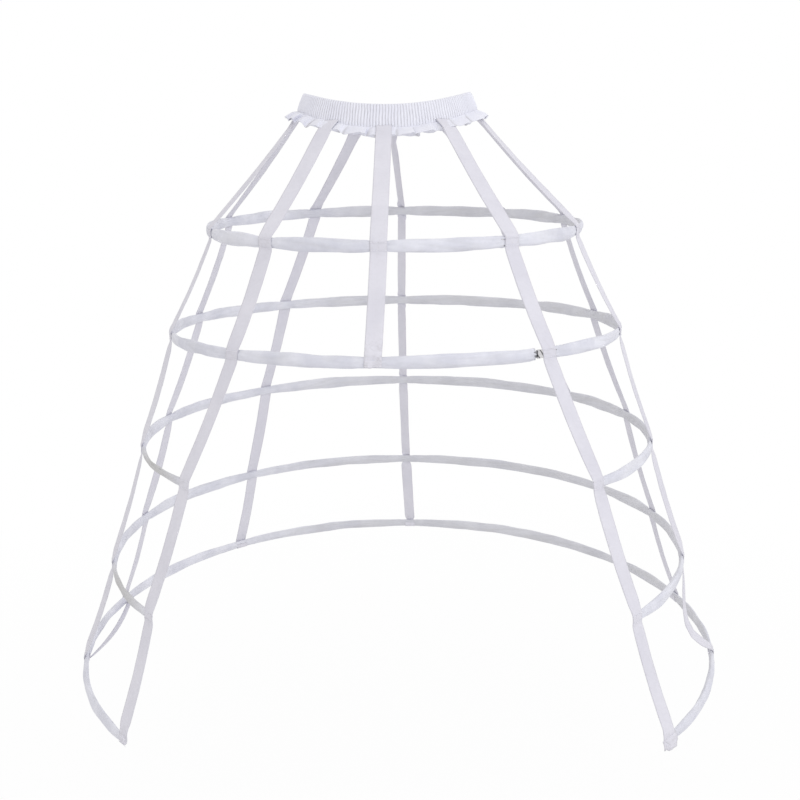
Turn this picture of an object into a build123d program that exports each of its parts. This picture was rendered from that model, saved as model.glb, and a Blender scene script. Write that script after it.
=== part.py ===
from build123d import *
import os
from math import atan, ceil, cos, degrees, pi, radians, sin

# Crinoline cage: five spring-steel hoops in cloth sleeves, hung on ten tapes from a shirred
# waistband. Hoops 1 and 2 are closed rings, and hoops 3 to 5 are open at the front.
# Millimetres, +Z up, front towards -Y. The origin is the centre of the waist, half-way up the
# waistband at its sides. Angles are in degrees from the front, and positive towards +X.

# Waistband: an elastic in a gathered casing that ends in a frill. It dips at front and back,
# and its top leans in towards the waist.
waist_half_width = 114.0
waist_half_depth = 92.0
waist_dip_front = 21.0
waist_dip_back = 14.0
waist_lean = 22.0
elastic_width = 22.0
elastic_thickness = 1.6
elastic_clearance = 0.3
casing_wall = 1.6
casing_hem = 2.7
gather_count = 72
gather_depth = 0.8
frill_drop = 16.0
frill_flare = 8.0
frill_thickness = 1.2
frill_fold = 2.4

# Hoops, from the top one down. They hang a little to the right of the waist.
hoop_shift = 8.0
hoop_radii = (250.0, 307.0, 353.0, 402.0, 450.0)
bay_drops = (160.0, 137.0, 152.0, 160.0, 143.0)
hoop_front_dips = (10.0, -4.0, 0.0, 0.0, 0.0)
closed_hoops = 2

# Boning: flat spring steel, with a ferrule where a closed hoop's ends meet and a cap on each
# free end of an open one.
bone_width = 7.0
bone_thickness = 1.0
bone_clearance = 0.3
ferrule_length = 20.0
ferrule_wall = 1.0
ferrule_end_gap = 0.6
cap_length = 10.0
cap_wall = 0.8
cap_end_wall = 1.5

# Sleeves: cloth tubes round the boning, full between the tapes and drawn in under them.
sleeve_full_height = 18.0
sleeve_full_depth = 9.4
sleeve_tied_height = 13.0
sleeve_tied_depth = 6.0
sleeve_corner = 0.45
sleeve_end_wall = 2.5
open_end_reach = 4.0
station_spacing = 10.5
ferrule_gap_before = (11.5, 21.0)
ferrule_gap_after = (11.5, 6.0)

# Tapes: the angle of each at the waist, then at each hoop that it reaches.
tape_width = 20.0
tape_thickness = 0.8
tape_gap = 0.3
tie_margin = 1.0
foot_rise = 3.0
tape_angles = {
    "front_centre_tape": (-2.0, -4.0, -4.5),
    "front_left_tape": (-42.0, -35.0, -38.0, -45.5, -48.2, -47.5),
    "front_right_tape": (42.0, 30.8, 35.2, 42.0, 44.8, 45.8),
    "side_left_tape": (-78.0, -70.0, -73.0, -76.0, -76.0, -78.0),
    "side_right_tape": (78.0, 70.0, 73.0, 76.0, 76.0, 78.0),
    "rear_side_left_tape": (-110.0, -108.2, -108.0, -103.5, -103.0, -104.0),
    "rear_side_right_tape": (110.0, 108.0, 107.0, 102.5, 102.2, 102.5),
    "back_left_tape": (-154.0, -150.0, -143.8, -141.0, -140.2, -140.0),
    "back_right_tape": (150.0, 141.2, 134.5, 128.2, 122.5, 121.2),
    "back_centre_tape": (179.0, 177.5, 178.2, 178.2, 177.8, 177.2),
}
slack_tape = "side_right_tape"
slack_bow = 24.0
tie_width = 11.0

casing_depth = elastic_thickness + 2 * (elastic_clearance + casing_wall)
casing_height = elastic_width + 2 * (elastic_clearance + casing_hem)
hoop_heights = [-sum(bay_drops[: index + 1]) for index in range(len(bay_drops))]
os.makedirs("parts", exist_ok=True)


def save(piece, name):
    """Label a finished piece and write it to its own file."""
    piece.part.label = name
    export_step(piece.part, f"parts/{name}.step")


def waist_point(angle):
    """A point on the waistline, which dips at the front and back of its ellipse."""
    turn = radians(angle)
    even_dip = (waist_dip_front + waist_dip_back) / 2 * cos(turn) ** 2
    front_dip = (waist_dip_front - waist_dip_back) / 2 * cos(turn)
    return Vector(waist_half_width * sin(turn), -waist_half_depth * cos(turn), -even_dip - front_dip)


def waist_plane(angle):
    """A plane across the waistband, with x outward from its face and y up it."""
    turn, lean = radians(angle), radians(waist_lean)
    along = Vector(-waist_half_width * cos(turn), -waist_half_depth * sin(turn), 0)
    outward = along.cross(Vector(0, 0, -1)).normalized()
    face_out = outward * cos(lean) + Vector(0, 0, sin(lean))
    return Plane(origin=waist_point(angle), x_dir=face_out, z_dir=along)


def hoop_plane(hoop):
    """A hoop's own plane, which tips down at the front by the hoop's dip."""
    tip = atan(hoop_front_dips[hoop] / hoop_radii[hoop])
    return Plane(
        origin=(hoop_shift, 0, hoop_heights[hoop]), x_dir=(1, 0, 0), z_dir=(0, -sin(tip), cos(tip))
    )


def on_hoop(hoop, angle):
    """A point on a hoop's centre line, in the hoop's own plane."""
    radius = hoop_radii[hoop]
    return Vector(radius * sin(radians(angle)), -radius * cos(radians(angle)), 0)


def tie_reach(hoop):
    """Half the angle that a hoop's sleeve lies flat under a tape."""
    return degrees((tape_width / 2 + tie_margin) / hoop_radii[hoop])


def path_planes(points, up=Vector(0, 0, 1)):
    """Planes across a path that runs round the cage, with x outward and y up."""
    steps = [(after - before).normalized() for before, after in zip(points, points[1:])]
    planes = []
    for point, before, after in zip(points, steps[:1] + steps, steps + steps[-1:]):
        along = (before + after).normalized()
        planes.append(Plane(origin=point, x_dir=along.cross(up), z_dir=along * -1))
    return planes


def trimmed(points, length):
    """A path shortened by a length at each end."""
    first = points[0] + (points[1] - points[0]).normalized() * length
    last = points[-1] + (points[-2] - points[-1]).normalized() * length
    return [first] + points[1:-1] + [last]


def strip(hoop, points, thickness):
    """A thin strip along a path in a hoop's plane, drawn from above."""
    corners = []
    for side in (1, -1):
        edge = [
            plane.from_local_coords(Vector(side * thickness / 2, 0, 0))
            for plane in path_planes(points)
        ]
        corners += [(corner.X, corner.Y) for corner in edge[::side]]
    with BuildSketch(hoop_plane(hoop)) as sketch:
        Polygon(*corners, align=None)
    return sketch.sketch


def hoop_stations(hoop):
    """Angles and fullness along a sleeve: 0 under each tape and 1 half-way between two."""
    per_millimetre = degrees(1 / hoop_radii[hoop])
    reach = tie_reach(hoop)
    right = tape_angles["front_right_tape"][hoop + 1]
    if hoop < closed_hoops:
        start = right + ferrule_gap_after[hoop] * per_millimetre
        end = right + 360 - ferrule_gap_before[hoop] * per_millimetre
    else:
        start = right - open_end_reach * per_millimetre
        end = tape_angles["front_left_tape"][hoop + 1] + 360 + open_end_reach * per_millimetre
    ties = [angles[hoop + 1] - right for angles in tape_angles.values() if len(angles) > hoop + 1]
    stations = [(start, 0.0)]
    for tie in sorted(right + turn % 360 for turn in ties):
        low, full = stations[-1][0], tie - reach
        count = ceil((full - low) / station_spacing)
        for step in range(1, count + 1):
            share = step / count
            stations.append((low + (full - low) * share, sin(pi * share) if step < count else 0.0))
        if stations[-1][0] < tie + reach - station_spacing / 20:
            stations.append((min(tie + reach, end), 0.0))
    low, full = stations[-1][0], end
    count = ceil((full - low) / station_spacing - 0.01)
    for step in range(1, count + 1):
        share = step / count
        stations.append((low + (full - low) * share, sin(pi * share) if step < count else 0.0))
    return stations


def sleeve_outline(fullness):
    """Eight corners of a sleeve's section, from the upper outer face round."""
    half_depth = (sleeve_tied_depth + (sleeve_full_depth - sleeve_tied_depth) * fullness) / 2
    half_height = (sleeve_tied_height + (sleeve_full_height - sleeve_tied_height) * fullness) / 2
    low = half_height * sleeve_corner
    near = half_depth * sleeve_corner
    return [
        (half_depth, low),
        (near, half_height),
        (-near, half_height),
        (-half_depth, low),
        (-half_depth, -low),
        (-near, -half_height),
        (near, -half_height),
        (half_depth, -low),
    ]


def tape_sections(route):
    """Corners of a tape's section, square to its route of points and crosswise directions."""
    sections = []
    points = [point for point, across in route]
    steps = [(after - before).normalized() for before, after in zip(points, points[1:])]
    for (point, across), before, after in zip(route, steps[:1] + steps, steps + steps[-1:]):
        plane = Plane(origin=point, x_dir=across, z_dir=(before + after).normalized())
        half_width, half_thickness = tape_width / 2, tape_thickness / 2
        corners = [
            (half_width, half_thickness),
            (-half_width, half_thickness),
            (-half_width, -half_thickness),
            (half_width, -half_thickness),
        ]
        sections.append([plane.from_local_coords(Vector(x, y, 0)) for x, y in corners])
    return sections


def panelled(sections, ring=False):
    """A cloth solid of flat panels between its sections, with both faces creased the same way."""
    corners = []
    for here, after in zip(sections, sections[1:] + (sections[:1] if ring else [])):
        for low in range(len(here)):
            high = (low + 1) % len(here)
            if low < len(here) / 2:
                corners += [(here[low], after[low], after[high]), (here[low], after[high], here[high])]
            else:
                corners += [(here[low], after[low], here[high]), (here[high], after[low], after[high])]
    if not ring:
        corners += [sections[0], sections[-1]]
    return Solid(Shell([Face(Wire.make_polygon(panel)) for panel in corners]))


# Waist elastic: a flat ring, lofted in two halves.
elastic_steps = 40
with BuildPart() as waist_elastic:
    for half in range(2):
        for step in range(elastic_steps // 2 + 1):
            with BuildSketch(waist_plane(half * 180 + step * 360 / elastic_steps)):
                Rectangle(elastic_thickness, elastic_width)
        loft(ruled=True, clean=False)
save(waist_elastic, "waist_elastic")

# Gathered casing and frill: one strip of cloth. Each gather is a ridge and a furrow on the band,
# and opens into a fold of the frill, with every third fold deeper.
casing_sections = []
for index in range(2 * gather_count):
    side = 1 if index % 2 == 0 else -1
    ridge = gather_depth * side
    fold = frill_fold * side * (0.7 + 0.3 * cos(index * 2.1))
    outer = casing_depth / 2
    top = casing_height / 2
    tip_out = outer + frill_flare + fold * 0.6
    tip_down = -top - frill_drop + fold * 0.5
    plane = waist_plane(index * 180 / gather_count)
    corners = [
        (outer + ridge, top - casing_hem),
        (outer * 0.5, top),
        (-outer, top - casing_hem * 0.4),
        (-outer, -top),
        (outer - frill_thickness, -top),
        (tip_out - frill_thickness, tip_down - frill_thickness / 2),
        (tip_out, tip_down + frill_thickness / 2),
        (outer + ridge, -top + casing_hem),
    ]
    casing_sections.append([plane.from_local_coords(Vector(out, up, 0)) for out, up in corners])
with BuildPart() as waistband_casing:
    add(panelled(casing_sections, ring=True))
    for half in range(2):
        for step in range(elastic_steps // 2 + 1):
            with BuildSketch(waist_plane(half * 180 + step * 360 / elastic_steps)):
                Rectangle(
                    elastic_thickness + 2 * elastic_clearance, elastic_width + 2 * elastic_clearance
                )
        loft(ruled=True, clean=False, mode=Mode.SUBTRACT)
save(waistband_casing, "waistband_casing")

# Hoops: each has its boning, its sleeve, and the ferrule or the two end caps on the boning.
channel_thickness = bone_thickness + 2 * bone_clearance
channel_width = bone_width + 2 * bone_clearance
for hoop in range(len(hoop_radii)):
    name = f"hoop_{hoop + 1}"
    closed = hoop < closed_hoops
    stations = hoop_stations(hoop)
    sleeve_path = [on_hoop(hoop, angle) for angle, fullness in stations]
    if closed:
        joint = on_hoop(hoop, (stations[0][0] + stations[-1][0] - 360) / 2)
        channel_path = [joint] + sleeve_path + [joint]
        bone_path = trimmed(channel_path, ferrule_end_gap / 2)
    else:
        pocket_path = trimmed(sleeve_path, sleeve_end_wall)
        cap_path = trimmed(pocket_path, bone_clearance)
        bone_path = trimmed(cap_path, cap_end_wall)
        channel_path = bone_path

    with BuildPart() as bone:
        extrude(strip(hoop, bone_path, bone_thickness), amount=bone_width / 2, both=True)
    save(bone, f"{name}_bone")

    plane = hoop_plane(hoop)
    centre_line = [plane.from_local_coords(point) for point in sleeve_path]
    sleeve_sections = [
        [section.from_local_coords(Vector(out, up, 0)) for out, up in sleeve_outline(fullness)]
        for section, (angle, fullness) in zip(path_planes(centre_line, plane.z_dir), stations)
    ]
    with BuildPart() as sleeve:
        add(panelled(sleeve_sections))
        channel = strip(hoop, trimmed(channel_path, 0.01), channel_thickness)
        extrude(channel, amount=channel_width / 2, both=True, clean=False, mode=Mode.SUBTRACT)
        if not closed:
            for ends in (pocket_path[:2], pocket_path[:-3:-1]):
                tip, inner = ends
                back = tip + (inner - tip).normalized() * (cap_length + 2 * bone_clearance)
                pocket = strip(hoop, [tip, back], channel_thickness + 2 * (cap_wall + bone_clearance))
                extrude(
                    pocket,
                    amount=channel_width / 2 + cap_wall + bone_clearance,
                    both=True,
                    clean=False,
                    mode=Mode.SUBTRACT,
                )
    save(sleeve, f"{name}_sleeve")

    if closed:
        before, after = [
            joint + (end - joint).normalized() * ferrule_length / 2
            for end in (sleeve_path[-1], sleeve_path[0])
        ]
        ferrule_path = [before, joint, after]
        with BuildPart() as ferrule:
            shell = strip(hoop, ferrule_path, channel_thickness + 2 * ferrule_wall)
            extrude(shell, amount=channel_width / 2 + ferrule_wall, both=True)
            slot = strip(hoop, ferrule_path, channel_thickness)
            extrude(slot, amount=channel_width / 2, both=True, mode=Mode.SUBTRACT)
        save(ferrule, f"{name}_ferrule")
    else:
        for side, ends in (("right", cap_path[:2]), ("left", cap_path[:-3:-1])):
            tip, inner = ends
            along = (inner - tip).normalized()
            with BuildPart() as cap:
                shell = strip(hoop, [tip, tip + along * cap_length], channel_thickness + 2 * cap_wall)
                extrude(shell, amount=channel_width / 2 + cap_wall, both=True)
                mouth = [tip + along * (cap_end_wall - bone_clearance), tip + along * cap_length]
                slot = strip(hoop, mouth, channel_thickness)
                extrude(slot, amount=channel_width / 2, both=True, mode=Mode.SUBTRACT)
            save(cap, f"{name}_{side}_cap")

# Tapes: each starts at the band's lower edge, lies down the frill and over every sleeve, and
# folds up round its last one.
clear = tape_gap + tape_thickness / 2
frill_root = Vector(casing_depth / 2 + gather_depth, casing_hem - casing_height / 2, 0)
frill_tip = Vector(
    casing_depth / 2 + frill_flare + frill_fold * 0.6,
    (frill_thickness + frill_fold - casing_height) / 2 - frill_drop,
    0,
)
off_frill = (frill_tip - frill_root).cross(Vector(0, 0, -1)).normalized() * clear
(face_out, face_up), (edge_out, edge_up) = sleeve_outline(0)[:2]
over_sleeve = [
    (edge_out + clear * 0.6, edge_up + clear),
    (face_out + clear, face_up + clear * 0.4),
    (face_out + clear, -face_up - clear * 0.4),
]
round_foot = [
    (edge_out + clear * 0.6, -edge_up - clear),
    (-edge_out - clear * 0.6, -edge_up - clear),
    (-face_out - clear, -face_up - clear * 0.4),
    (-face_out - clear, -face_up + foot_rise),
]


def tape_frame(hoop, angle):
    """A plane on the flat of a sleeve under a tape, with x outward and y up."""
    plane = hoop_plane(hoop)
    flat = on_hoop(hoop, angle) * cos(radians(tie_reach(hoop)))
    across = Vector(cos(radians(angle)), sin(radians(angle)), 0)
    return Plane(
        origin=plane.from_local_coords(flat),
        x_dir=plane.from_local_coords(flat.normalized()) - plane.origin,
        z_dir=plane.origin - plane.from_local_coords(across),
    )


for name, angles in tape_angles.items():
    start = waist_plane(angles[0])
    seam = (waist_point(angles[0] + 5) - waist_point(angles[0] - 5)).normalized()
    route = [(start.from_local_coords(point + off_frill), seam) for point in (frill_root, frill_tip)]
    for hoop, angle in enumerate(angles[1:]):
        frame = tape_frame(hoop, angle)
        last = hoop == len(angles) - 2
        if name == slack_tape and last:
            middle = (route[-1][0] + frame.origin) * 0.5
            route.append((middle - frame.x_dir * slack_bow, frame.z_dir * -1))
        for out, up in over_sleeve + (round_foot if last else []):
            route.append((frame.from_local_coords(Vector(out, up, 0)), frame.z_dir * -1))
    with BuildPart() as tape:
        add(panelled(tape_sections(route)))
    save(tape, name)

# A short tape tied straight across the inside of the lowest hoop, at its left.
lowest = len(hoop_radii) - 1
inside = -face_out - 2 * tape_gap - 1.5 * tape_thickness
tie_ends = [
    tape_frame(lowest, tape_angles[name][-1]).from_local_coords(Vector(inside, 0, 0))
    for name in ("rear_side_left_tape", "side_left_tape")
]
with BuildPart() as side_tie:
    for point in tie_ends:
        with BuildSketch(Plane(origin=point, x_dir=(0, 0, 1), z_dir=tie_ends[1] - tie_ends[0])):
            Rectangle(tie_width, tape_thickness)
    loft(ruled=True)
save(side_tie, "left_side_tie")
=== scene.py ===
import bmesh
import bpy
from math import atan2, cos, exp, pi, radians, sin
from mathutils import Euler, Matrix, Quaternion, Vector, noise


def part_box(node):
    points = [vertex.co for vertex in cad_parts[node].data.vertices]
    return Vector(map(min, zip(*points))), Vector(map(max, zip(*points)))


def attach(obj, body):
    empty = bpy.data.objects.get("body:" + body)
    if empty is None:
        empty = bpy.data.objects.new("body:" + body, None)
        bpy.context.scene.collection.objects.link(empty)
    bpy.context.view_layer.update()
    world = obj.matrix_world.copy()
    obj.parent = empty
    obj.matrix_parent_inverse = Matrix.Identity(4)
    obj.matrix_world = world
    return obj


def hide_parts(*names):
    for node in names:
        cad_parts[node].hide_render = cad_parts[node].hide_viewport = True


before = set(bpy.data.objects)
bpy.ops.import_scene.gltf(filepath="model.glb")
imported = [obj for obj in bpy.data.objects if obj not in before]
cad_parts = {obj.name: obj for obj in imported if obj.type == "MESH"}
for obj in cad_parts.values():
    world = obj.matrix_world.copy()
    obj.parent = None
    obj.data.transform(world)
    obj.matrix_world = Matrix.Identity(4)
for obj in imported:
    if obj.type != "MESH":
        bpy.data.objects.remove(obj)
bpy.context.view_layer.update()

# Camera. The cage is seen from straight in front and a little above its waist, close enough
# that the lower hoops are seen from above and their backs curve up behind the open front.
camera_place = Vector((0.013, -1.388, -0.0875))
camera_pitch = radians(12.9)
camera_roll = radians(0.56)
camera_lens = 45.0
camera_sensor_width = 36.0
camera_data = bpy.data.cameras.new("camera")
camera_data.sensor_width = camera_sensor_width
camera_data.lens = camera_lens
camera = bpy.data.objects.new("camera", camera_data)
camera.rotation_mode = "QUATERNION"
camera.location = camera_place
camera.rotation_quaternion = (
    Euler((pi / 2 - camera_pitch, 0, 0)).to_quaternion() @ Quaternion((0, 0, 1), -camera_roll)
)
bpy.context.scene.collection.objects.link(camera)
bpy.context.scene.camera = camera
bpy.context.scene.view_settings.view_transform = "Standard"

# Floor and light. The cage hangs at its wearer's waist over a plain white floor, in soft light
# from all round with two broad lamps, one in front and high and one at the right.
waist_above_floor = 1.04
floor_reach = 7.0
floor_shade = (0.86, 0.86, 0.87, 1.0)
floor_clear_share = 0.94
floor_fades_from = 0.3
floor_fades_to = 1.6
room_light = 0.87
room_shade = (1.0, 0.985, 0.965, 1.0)
lamp_shade = (0.93, 0.95, 1.0)
lamps_aim = Vector((0, 0, -0.4))
# Each lamp's place, its size and its power.
lamps = {
    "front_lamp": ((0.7, -1.75, 0.75), 1.3, 7.4),
    "right_lamp": ((2.2, -0.7, 0.8), 1.6, 5.0),
}


def new_material(name):
    """An empty node material, with its node tree and its output node."""
    material = bpy.data.materials.new(name)
    material.use_nodes = True
    tree = material.node_tree
    tree.nodes.clear()
    return material, tree, tree.nodes.new("ShaderNodeOutputMaterial")


def plainly_seen(tree):
    """1 for the camera's own rays and for reflections, and 0 for the light that falls."""
    path = tree.nodes.new("ShaderNodeLightPath")
    seen = tree.nodes.new("ShaderNodeMath")
    seen.operation = "MAXIMUM"
    tree.links.new(path.outputs["Is Camera Ray"], seen.inputs[0])
    tree.links.new(path.outputs["Is Glossy Ray"], seen.inputs[1])
    return seen.outputs[0]


def fallen_and_seen(tree, output, share, fallen, seen):
    """Feeds an output with a shader for the light that falls, and by a share one for the view."""
    both = tree.nodes.new("ShaderNodeMixShader")
    tree.links.new(share, both.inputs[0])
    tree.links.new(fallen.outputs[0], both.inputs[1])
    tree.links.new(seen.outputs[0], both.inputs[2])
    tree.links.new(both.outputs[0], output.inputs["Surface"])


mesh = bpy.data.meshes.new("floor")
bm = bmesh.new()
bmesh.ops.create_circle(bm, cap_ends=True, segments=64, radius=floor_reach)
bmesh.ops.translate(bm, vec=(0, 0, -waist_above_floor), verts=bm.verts)
bm.to_mesh(mesh)
bm.free()
floor = bpy.data.objects.new("floor", mesh)
bpy.context.scene.collection.objects.link(floor)

material, tree, output = new_material("white_floor")
matt = tree.nodes.new("ShaderNodeBsdfDiffuse")
matt.inputs["Color"].default_value = floor_shade
glow = tree.nodes.new("ShaderNodeEmission")
glow.inputs["Color"].default_value = (1, 1, 1, 1)
coords = tree.nodes.new("ShaderNodeTexCoord")
away = tree.nodes.new("ShaderNodeVectorMath")
away.operation = "DISTANCE"
away.inputs[1].default_value = (0, 0, -waist_above_floor)
tree.links.new(coords.outputs["Object"], away.inputs[0])
fade = tree.nodes.new("ShaderNodeMapRange")
fade.inputs["From Min"].default_value = floor_fades_from
fade.inputs["From Max"].default_value = floor_fades_to
fade.inputs["To Min"].default_value = floor_clear_share
fade.inputs["To Max"].default_value = 1.0
tree.links.new(away.outputs["Value"], fade.inputs["Value"])
share = tree.nodes.new("ShaderNodeMath")
share.operation = "MULTIPLY"
tree.links.new(plainly_seen(tree), share.inputs[0])
tree.links.new(fade.outputs["Result"], share.inputs[1])
fallen_and_seen(tree, output, share.outputs[0], matt, glow)
floor.data.materials.append(material)

world = bpy.data.worlds.new("white_room")
bpy.context.scene.world = world
world.use_nodes = True
tree = world.node_tree
tree.nodes.clear()
output = tree.nodes.new("ShaderNodeOutputWorld")
dim = tree.nodes.new("ShaderNodeBackground")
dim.inputs["Color"].default_value = room_shade
dim.inputs["Strength"].default_value = room_light
white = tree.nodes.new("ShaderNodeBackground")
white.inputs["Color"].default_value = (1, 1, 1, 1)
fallen_and_seen(tree, output, plainly_seen(tree), dim, white)

for name, (place, size, power) in lamps.items():
    lamp = bpy.data.lights.new(name, "AREA")
    lamp.size = size
    lamp.energy = power
    lamp.color = lamp_shade
    holder = bpy.data.objects.new(name, lamp)
    holder.location = place
    holder.rotation_mode = "QUATERNION"
    holder.rotation_quaternion = (lamps_aim - Vector(place)).to_track_quat("-Z", "Y")
    bpy.context.scene.collection.objects.link(holder)

# Waistband. One long strip of thin cotton is folded over a flat elastic and sewn below it, so it
# is drawn into about 190 fine upright gathers. Its lower edge hangs as a frill of flat folds.
waist_low, waist_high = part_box("waist_elastic")
elastic_thickness = 0.0016
elastic_width = 0.022
waist_lean = radians(22)
elastic_reach = elastic_thickness / 2 * cos(waist_lean) + elastic_width / 2 * sin(waist_lean)
waist_half_width = (waist_high.x - waist_low.x) / 2 - elastic_reach
waist_half_depth = (waist_high.y - waist_low.y) / 2 - elastic_reach
waist_dip_front = 0.0195
waist_dip_back = 0.014
# The seam lies this far below the middle of the band's face, higher at the sides and lower in front.
seam_down = 0.0138
seam_side_rise = 0.0042
seam_front_drop = 0.0028
casing_cloth = 0.0004
casing_flat_length = 0.94
gather_count = 190
# The power that rounds a gather's top, and the share of its depth that lies inside of its row.
gather_roundness = 0.7
gather_middle = 0.7
columns_per_gather = 6
seam_merge = 0.000002
# Each row of the strip, from the frill's edge up over the elastic and down inside: how far out
# of the band's face and up it the row is, its gathers' depth and its share of the frill's folds.
casing_rows = [
    (0.0118, -0.0283, 0.0, 1.0),
    (0.0114, -0.0276, 0.0, 1.0),
    (0.0104, -0.0258, 0.0001, 1.0),
    (0.0091, -0.0238, 0.0001, 0.98),
    (0.0076, -0.0217, 0.0002, 0.93),
    (0.0060, -0.0197, 0.0002, 0.84),
    (0.0046, -0.0180, 0.0003, 0.70),
    (0.0034, -0.0166, 0.0004, 0.50),
    (0.0024, -0.0154, 0.0005, 0.26),
    (0.0018, -0.0145, 0.0006, 0.08),
    (0.0019, -0.0138, 0.0009, 0.0),
    (0.0024, -0.0126, 0.0011, 0.0),
    (0.0028, -0.0102, 0.0013, 0.0),
    (0.0029, -0.0066, 0.0014, 0.0),
    (0.0030, -0.0028, 0.0014, 0.0),
    (0.0030, 0.0012, 0.0014, 0.0),
    (0.0029, 0.0052, 0.0014, 0.0),
    (0.0028, 0.0092, 0.0012, 0.0),
    (0.0025, 0.0124, 0.0010, 0.0),
    (0.0016, 0.0142, 0.0006, 0.0),
    (0.0002, 0.0148, 0.0004, 0.0),
    (-0.0012, 0.0136, 0.0004, 0.0),
    (-0.0022, 0.0120, 0.0005, 0.0),
    (-0.0026, 0.0090, 0.0006, 0.0),
    (-0.0027, 0.0030, 0.0006, 0.0),
    (-0.0027, -0.0040, 0.0006, 0.0),
    (-0.0026, -0.0100, 0.0005, 0.0),
    (-0.0023, -0.0130, 0.0003, 0.0),
    (-0.0016, -0.0141, 0.0002, 0.0),
]
frill_fold_count = 27
frill_fold_depth = 0.0034
frill_fold_overlap = 0.0064
frill_fold_wander = 3.4
frill_edge_wander = 0.0022
frill_ripple = 0.0009
# The slit beside each fold: where in the fold's turn it lies, how narrow it is, and how much painted
# shade it gets.
slit_turn = 1.8
slit_narrowness = 12
slit_painted_shade = 1.4
# How much darker the frill grows toward its edge, and how much painted shade the hollows between the
# gathers get.
frill_mark = 0.10
gather_painted_shade = 1.2


def waist_point(angle):
    """A point on the waistline, which dips at the front and back of its ellipse."""
    even_dip = (waist_dip_front + waist_dip_back) / 2 * cos(angle) ** 2
    front_dip = (waist_dip_front - waist_dip_back) / 2 * cos(angle)
    return Vector(
        (waist_half_width * sin(angle), -waist_half_depth * cos(angle), -even_dip - front_dip)
    )


def waist_frame(angle):
    """A point on the waistline, and the band's directions: along, out of its face and up it."""
    outward = Vector((waist_half_depth * sin(angle), -waist_half_width * cos(angle), 0))
    outward.normalize()
    along = Vector((-outward.y, outward.x, 0))
    face_out = outward * cos(waist_lean) + Vector((0, 0, sin(waist_lean)))
    face_up = Vector((0, 0, cos(waist_lean))) - outward * sin(waist_lean)
    return waist_point(angle), along, face_out, face_up


def seam_place(angle, up):
    """A height on the band's face, drawn down at the front and up at the sides with the seam."""
    share = min(max(-up / seam_down, 0.0), 1.0)
    return up + share * (seam_side_rise * sin(angle) ** 2 - seam_front_drop * cos(angle) ** 2)


def cut_cloth(length, width, columns, rows):
    """A flat cloth from 0 to its length and width, with a UV map in metres and a fold layer that
    carries painted shade and some darker tone.
    """
    bm = bmesh.new()
    bmesh.ops.create_grid(bm, x_segments=columns, y_segments=rows, size=0.5, calc_uvs=True)
    bmesh.ops.translate(bm, vec=(0.5, 0.5, 0), verts=bm.verts)
    bmesh.ops.scale(bm, vec=(length, width, 1), verts=bm.verts)
    layer = bm.loops.layers.uv.verify()
    for face in bm.faces:
        for loop in face.loops:
            loop[layer].uv = loop.vert.co.xy
    return bm, bm.verts.layers.float.new("fold")


def finish_piece(bm, name, material):
    """Makes a shaped mesh into a smooth piece that rides with the cage."""
    mesh = bpy.data.meshes.new(name)
    bm.to_mesh(mesh)
    bm.free()
    mesh.shade_smooth()
    piece = bpy.data.objects.new(name, mesh)
    bpy.context.scene.collection.objects.link(piece)
    piece.data.materials.append(material)
    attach(piece, "root")
    return piece


def finish_cloth(bm, name, thickness, material):
    """Makes a shaped cloth into a piece that has its own thickness."""
    piece = finish_piece(bm, name, material)
    wall = piece.modifiers.new("thickness", "SOLIDIFY")
    wall.thickness = thickness
    wall.offset = -1.0
    return piece


def woven_group():
    """Threads crossing over and under each other, from a UV map in metres."""
    group = bpy.data.node_groups.new("woven_threads", "ShaderNodeTree")
    for name, kind, value in (
        ("Vector", "NodeSocketVector", None),
        ("Thread Pitch", "NodeSocketFloat", 0.0005),
        ("Slub", "NodeSocketFloat", 0.3),
    ):
        socket = group.interface.new_socket(name, in_out="INPUT", socket_type=kind)
        if value is not None:
            socket.default_value = value
    for name in ("Height", "Thread Shade"):
        group.interface.new_socket(name, in_out="OUTPUT", socket_type="NodeSocketFloat")
    nodes, links = group.nodes, group.links
    entry = nodes.new("NodeGroupInput")
    leave = nodes.new("NodeGroupOutput")

    def reckon(operation, *values):
        """A Math node on sockets or numbers."""
        node = nodes.new("ShaderNodeMath")
        node.operation = operation
        for socket, value in zip(node.inputs, values):
            if isinstance(value, (int, float)):
                socket.default_value = value
            else:
                links.new(value, socket)
        return node.outputs[0]

    place = nodes.new("ShaderNodeSeparateXYZ")
    links.new(entry.outputs["Vector"], place.inputs[0])
    turns = reckon("DIVIDE", pi, entry.outputs["Thread Pitch"])
    warp = reckon("SINE", reckon("MULTIPLY", place.outputs["X"], turns))
    weft = reckon("SINE", reckon("MULTIPLY", place.outputs["Y"], turns))
    crossing = reckon("MULTIPLY", warp, weft)
    ridges = reckon("ADD", reckon("ABSOLUTE", warp), reckon("ABSOLUTE", weft))
    slub = nodes.new("ShaderNodeTexNoise")
    slub.inputs["Scale"].default_value = 900.0
    slub.inputs["Detail"].default_value = 2.0
    links.new(entry.outputs["Vector"], slub.inputs["Vector"])
    rough = reckon("MULTIPLY", slub.outputs["Fac"], entry.outputs["Slub"])
    height = reckon("ADD", reckon("MULTIPLY_ADD", ridges, 0.5, crossing), rough)
    links.new(height, leave.inputs["Height"])
    links.new(reckon("MULTIPLY", ridges, 0.5), leave.inputs["Thread Shade"])
    return group


woven_threads = woven_group()


def noise_grain(tree, vector, scale, detail=2.0, roughness=0.5):
    """A noise texture's values at a vector."""
    grain = tree.nodes.new("ShaderNodeTexNoise")
    grain.inputs["Scale"].default_value = scale
    grain.inputs["Detail"].default_value = detail
    grain.inputs["Roughness"].default_value = roughness
    tree.links.new(vector, grain.inputs["Vector"])
    return grain.outputs["Fac"]


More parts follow.
